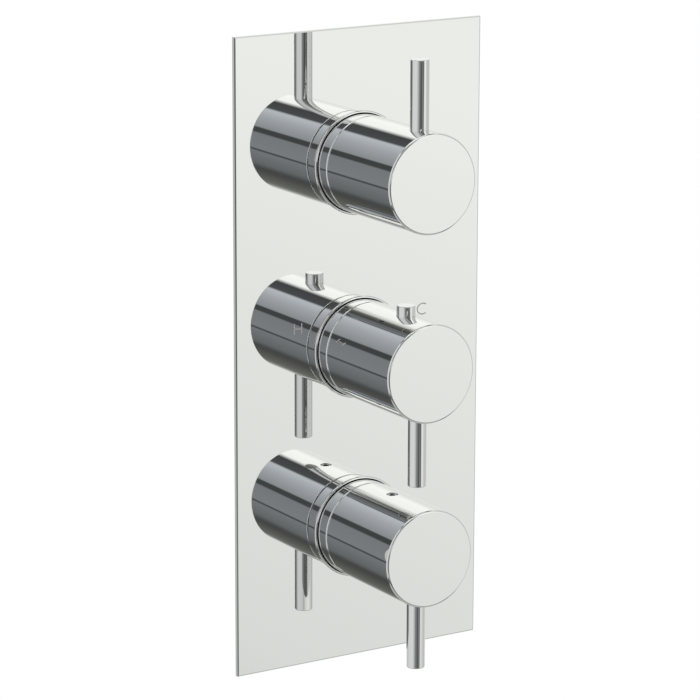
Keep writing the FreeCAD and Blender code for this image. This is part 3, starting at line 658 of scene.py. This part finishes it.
def markPiece(name, centre, strokes, ink):
    # the strokes' points are measured from the mark's centre
    face, proud = boxOf("cover_plate")[0].y, markSettings["proud"]
    mesh = bmesh.new()
    for stroke in strokes:
        inner, outer = ([(centre[0] + x, centre[1] + z) for x, z in edge] for edge in stroke)
        strokeBand(mesh, inner, outer, face - proud, face + proud)
    bmesh.ops.recalc_face_normals(mesh, faces=mesh.faces)
    dress(meshObject(name, mesh), ink, "root", "chrome")


def hotStrokes():
    # two uprights and the bar between them
    rise, reach, half = (markSettings[name] / 2 for name in ("height", "width", "stroke"))
    strokes = []
    for x in (half - reach, reach - half):
        strokes.append(([(x - half, -rise), (x - half, rise)], [(x + half, -rise), (x + half, rise)]))
    inside = reach - 2 * half
    strokes.append(([(-inside, -half), (inside, -half)], [(-inside, half), (inside, half)]))
    return strokes


def coldStrokes():
    # one round stroke, open to the right
    reach, rise, mouth = (markSettings[name] for name in ("coldReach", "coldRise", "coldMouth"))
    steps = markSettings["coldSteps"]
    turns = [math.radians(mouth + step * (360 - 2 * mouth) / steps) for step in range(steps + 1)]
    arcs = []
    for inset in (markSettings["stroke"], 0):
        arcs.append([((reach - inset) * math.cos(turn), (rise - inset) * math.sin(turn)) for turn in turns])
    return [arcs]


markInk = markFinish()
markPiece("hotMark", markSettings["hot"], hotStrokes(), markInk)
markPiece("coldMark", markSettings["cold"], coldStrokes(), markInk)
print("marks made")

tints = {
    "warm": (0.985, 1.0, 0.975),    # red, green and blue of the white cards
    "cool": (0.94, 1.0, 1.07),      # grey cards
    "flag": (0.93, 1.0, 1.04),      # black flags
    "moss": (0.97, 1.0, 0.93),      # what stands low in front
    "pale": (0.98, 1.0, 1.01),      # the side away from the window
}
plainWhite = (1.0, 1.0, 1.0, 1.0)
studioSettings = {
    "peak": 1.3,          # the most that a card may show, where 1 is plain white
    # what stands round the wall's axis, from the right and up over the top: degrees, brightness, tint
    "ring": [(0, 0.93, "warm"), (12, 0.99, "warm"), (30, 1.24, "warm"), (60, 1.2, "warm"), (66, 0.6, "warm"),
             (71, 0.07, "flag"), (94, 0.09, "flag"), (99, 0.65, "cool"), (120, 0.49, "cool"), (147, 0.35, "cool"),
             (149, 0.07, "flag"), (159, 0.07, "flag"), (162, 0.25, "cool"), (198, 0.27, "cool"),
             (199.5, 0.08, "flag"), (202, 0.08, "flag"), (204, 0.235, "cool"), (234, 0.175, "flag"),
             (246, 0.085, "flag"), (254, 0.085, "moss"), (270, 0.12, "moss"), (284, 0.15, "moss"),
             (297, 0.19, "moss"), (305, 0.32, "warm"), (312, 0.48, "warm"), (319, 0.62, "warm"), (326, 0.81, "warm"),
             (332, 0.865, "warm"), (337, 0.915, "warm"), (343, 0.98, "warm"), (350, 0.97, "warm")],
    # what stands round the horizon, by compass turn from the right towards the wall
    "horizon": [(0, 0.56, "flag"), (20, 0.72, "warm"), (60, 1.0, "warm"), (100, 0.8, "warm"), (122, 0.5, "warm"),
                (140, 0.72, "pale"), (196, 0.76, "pale"), (207, 0.66, "pale"), (214, 0.56, "pale"),
                (222, 0.45, "pale"), (229, 0.27, "pale"), (238, 0.16, "pale"), (252, 0.12, "warm"),
                (266.5, 0.07, "warm"), (268, 0.4, "warm"), (272, 0.4, "warm"), (273.5, 0.07, "warm"),
                (283, 0.07, "warm"), (287, 0.62, "warm"), (300, 0.76, "warm"), (316, 0.72, "warm"),
                (340, 0.6, "warm")],
    # what stands above and below that, by its height in degrees
    "height": [(-90, 0.4, "moss"), (-58, 0.55, "moss"), (-50, 0.55, "warm"), (-46, 0.09, "flag"),
               (-39, 0.09, "flag"), (-36, 0.6, "warm"), (-24, 0.7, "warm"), (44, 0.85, "warm"), (53, 0.9, "warm"),
               (56, 0.1, "flag"), (63, 0.1, "flag"), (67, 1.1, "warm"), (80, 1.2, "warm"), (90, 1.1, "warm")],
    # an edge is two angles in degrees: nothing shows at the first and all of it at the second
    "bandFoot": (-26.0, -22.0), "bandTop": (50.0, 44.0),             # heights between which the horizon shows
    "ringInside": (26.0, 29.0), "ringOutside": (43.0, 40.5),         # away from straight ahead
    "frontEdge": (28.0, 24.0),                                       # away from straight ahead
    "frontFoot": (-6.2, -4.7), "frontTop": (8.5, 7.0),               # heights
    "frontCard": (0.82, "warm"),
    "softLight": 0.55,    # what matt surfaces get from all round
}


def cardShade(level, tint):
    return (*(level / studioSettings["peak"] * channel for channel in tints[tint]), 1.0)


def cardStops(name, start, span):
    # the named cards as the stops of a ramp that runs from this angle through this many degrees
    return [((angle - start) / span, cardShade(level, tint)) for angle, level, tint in studioSettings[name]]


def cardMask(tree, *edges):
    # 1 inside all the edges; an edge is the name of its two angles, the part of the direction that shows
    # them, and sine or cosine, whichever turns an angle into that part
    inside = {}
    for name, part, measure in edges:
        nothing, everything = (measure(math.radians(angle)) for angle in studioSettings[name])
        edge = addNode(tree, "ShaderNodeMapRange",
                       {"interpolation_type": "SMOOTHSTEP", "From Min": nothing, "From Max": everything},
                       {"Value": part, **inside})
        inside = {"To Max": edge.outputs[0]}
    return edge.outputs[0]


def buildStudio():
    # metal sees cards round the object: white ones, with dark flags between them for contrast
    world = bpy.data.worlds.new("studio")
    world.use_nodes = True
    scene.world = world
    tree = world.node_tree
    tree.nodes.clear()
    direction = addNode(tree, "ShaderNodeTexCoord").outputs["Generated"]
    split = addNode(tree, "ShaderNodeSeparateXYZ", links={"Vector": direction})
    cards = {}
    for name, rise in (("ring", "Z"), ("horizon", "Y")):
        angle = addNode(tree, "ShaderNodeMath", {"operation": "ARCTAN2"},
                        {0: split.outputs[rise], 1: split.outputs["X"]})
        turns = addNode(tree, "ShaderNodeMath", {"operation": "DIVIDE", 1: 2 * math.pi}, {0: angle.outputs[0]})
        compass = addNode(tree, "ShaderNodeMath", {"operation": "FRACT"}, {0: turns.outputs[0]})
        stops = cardStops(name, 0, 360)
        stops.append((1.0, stops[0][1]))
        cards[name] = addNode(tree, "ShaderNodeValToRGB", {"stops": stops}, {"Fac": compass.outputs[0]}).outputs[0]
    rise = addNode(tree, "ShaderNodeMath", {"operation": "ARCSINE"}, {0: split.outputs["Z"]})
    # straight down to straight up becomes 0 to 1
    height = addNode(tree, "ShaderNodeMath", {"operation": "MULTIPLY_ADD", 1: 1 / math.pi, 2: 0.5},
                     {0: rise.outputs[0]})
    cards["height"] = addNode(tree, "ShaderNodeValToRGB", {"stops": cardStops("height", -90, 180)},
                              {"Fac": height.outputs[0]}).outputs[0]
    upward = split.outputs["Z"]
    ahead = addNode(tree, "ShaderNodeMath", {"operation": "MULTIPLY", 1: -1.0}, {0: split.outputs["Y"]}).outputs[0]
    band = cardMask(tree, ("bandFoot", upward, math.sin), ("bandTop", upward, math.sin))
    ring = cardMask(tree, ("ringInside", ahead, math.cos), ("ringOutside", ahead, math.cos))
    front = cardMask(tree, ("frontEdge", ahead, math.cos), ("frontFoot", upward, math.sin),
                     ("frontTop", upward, math.sin))
    # a colour mix takes what lies under in input 6 and what lies over in input 7, and gives output 2
    view = cards["height"]
    for share, over in ((band, cards["horizon"]), (ring, cards["ring"])):
        view = addNode(tree, "ShaderNodeMix", {"data_type": "RGBA"}, {"Factor": share, 6: view, 7: over}).outputs[2]
    view = addNode(tree, "ShaderNodeMix", {"data_type": "RGBA", 7: cardShade(*studioSettings["frontCard"])},
                   {"Factor": front, 6: view}).outputs[2]
    metalView = addNode(tree, "ShaderNodeBackground", {"Strength": studioSettings["peak"]}, {"Color": view})
    softView = addNode(tree, "ShaderNodeBackground", {"Color": plainWhite, "Strength": studioSettings["softLight"]})
    backdrop = addNode(tree, "ShaderNodeBackground", {"Color": plainWhite, "Strength": 1.0})
    path = addNode(tree, "ShaderNodeLightPath")
    mirrored = addNode(tree, "ShaderNodeMath", {"operation": "MAXIMUM"},
                       {0: path.outputs["Is Glossy Ray"], 1: path.outputs["Is Transmission Ray"]})
    lit = addNode(tree, "ShaderNodeMixShader",
                  links={0: mirrored.outputs[0], 1: softView.outputs[0], 2: metalView.outputs[0]})
    whole = addNode(tree, "ShaderNodeMixShader",
                    links={0: path.outputs["Is Camera Ray"], 1: lit.outputs[0], 2: backdrop.outputs[0]})
    addNode(tree, "ShaderNodeOutputWorld", links={"Surface": whole.outputs[0]})


floorSettings = {
    "drop": 220.0,        # mm under the plate
    "radius": 6.0,        # m
    "sides": 64,
    "colour": "#F4F4F4",
    "ownLight": 0.75,     # share of plain white that the camera sees in place of the matt floor
}


def buildFloor():
    # matt white; it lies under the foot of the wall and passes into the white backdrop
    material, tree = newMaterial("white studio floor")
    path = addNode(tree, "ShaderNodeLightPath")
    share = addNode(tree, "ShaderNodeMath", {"operation": "MULTIPLY", 1: floorSettings["ownLight"]},
                    {0: path.outputs["Is Camera Ray"]})
    matt = addNode(tree, "ShaderNodeBsdfDiffuse", {"Color": linearColour(floorSettings["colour"])})
    glow = addNode(tree, "ShaderNodeEmission", {"Color": plainWhite, "Strength": 1.0})
    both = addNode(tree, "ShaderNodeMixShader",
                   links={0: share.outputs[0], 1: matt.outputs[0], 2: glow.outputs[0]})
    addNode(tree, "ShaderNodeOutputMaterial", links={"Surface": both.outputs[0]})
    mesh = bmesh.new()
    bmesh.ops.create_circle(mesh, cap_ends=True, segments=floorSettings["sides"], radius=floorSettings["radius"])
    floor = meshObject("studioFloor", mesh)
    floor.location.z = cadBounds[0].z - floorSettings["drop"] * mm
    floor.data.materials.append(material)
    floor.visible_glossy = False


wallSettings = {
    "halfSize": 4.0,      # m
    "behind": 0.2,        # mm behind the foam seal
}


def buildWall():
    # the finished wall that the valve is set in; it is plain white, and seen only from its room side
    material, tree = newMaterial("white wall")
    back = addNode(tree, "ShaderNodeNewGeometry").outputs["Backfacing"]
    path = addNode(tree, "ShaderNodeLightPath")
    roomSide = addNode(tree, "ShaderNodeMath", {"operation": "SUBTRACT", 0: 1.0}, {1: back})
    shown = addNode(tree, "ShaderNodeMath", {"operation": "MULTIPLY"},
                    {0: roomSide.outputs[0], 1: path.outputs["Is Camera Ray"]})
    clear = addNode(tree, "ShaderNodeBsdfTransparent")
    white = addNode(tree, "ShaderNodeEmission", {"Color": plainWhite, "Strength": 1.0})
    both = addNode(tree, "ShaderNodeMixShader",
                   links={0: shown.outputs[0], 1: clear.outputs[0], 2: white.outputs[0]})
    addNode(tree, "ShaderNodeOutputMaterial", links={"Surface": both.outputs[0]})
    mesh = bmesh.new()
    half = wallSettings["halfSize"]
    corners = [mesh.verts.new((x, wallSettings["behind"] * mm, z)) for x, z in
               ((-half, -half), (half, -half), (half, half), (-half, half))]
    mesh.faces.new(corners)
    wall = meshObject("finishedWall", mesh)
    wall.data.materials.append(material)
    wall.visible_glossy = False
    wall.visible_diffuse = False
    wall.visible_shadow = False


lampSettings = {
    # place and size in metres; all of them point at the middle axis and stay out of reflections
    "keyLamp": {"at": (-1.1, -1.4, 1.7), "size": 1.2, "watts": 30},
    "fillLamp": {"at": (1.5, -1.0, 0.9), "size": 1.2, "watts": 12},
    "backLamp": {"at": (0.4, 1.6, 1.6), "size": 1.2, "watts": 20},
}


def buildLamps():
    for name, lamp in lampSettings.items():
        light = bpy.data.lights.new(name, "AREA")
        light.size = lamp["size"]
        light.energy = lamp["watts"]
        holder = bpy.data.objects.new(name, light)
        holder.location = lamp["at"]
        holder.rotation_euler = (-Vector(lamp["at"])).to_track_quat("-Z", "Y").to_euler()
        holder.visible_glossy = False
        scene.collection.objects.link(holder)


cameraSettings = {
    "at": (-813.9, -1306.6, 375.7),              # mm, in front of the plate, to its left and a little above
    "yaw": 31.84, "down": 13.80, "roll": 0.15,   # degrees
    "lens": 174.8, "sensor": 36.0,               # mm
    "near": 0.05, "far": 50,                     # m
}


def buildCamera():
    data = bpy.data.cameras.new("productCamera")
    data.lens = cameraSettings["lens"]
    data.sensor_width = cameraSettings["sensor"]
    data.clip_start, data.clip_end = cameraSettings["near"], cameraSettings["far"]
    camera = bpy.data.objects.new("productCamera", data)
    yaw, down, roll = (math.radians(cameraSettings[name]) for name in ("yaw", "down", "roll"))
    turn = Matrix.Rotation(-yaw, 4, "Z") @ Matrix.Rotation(math.pi / 2 - down, 4, "X") @ Matrix.Rotation(roll, 4, "Z")
    camera.matrix_world = Matrix.Translation(Vector(cameraSettings["at"]) * mm) @ turn
    scene.collection.objects.link(camera)
    scene.camera = camera


buildStudio()
buildFloor()
buildWall()
buildLamps()
buildCamera()
print("studio and camera ready")
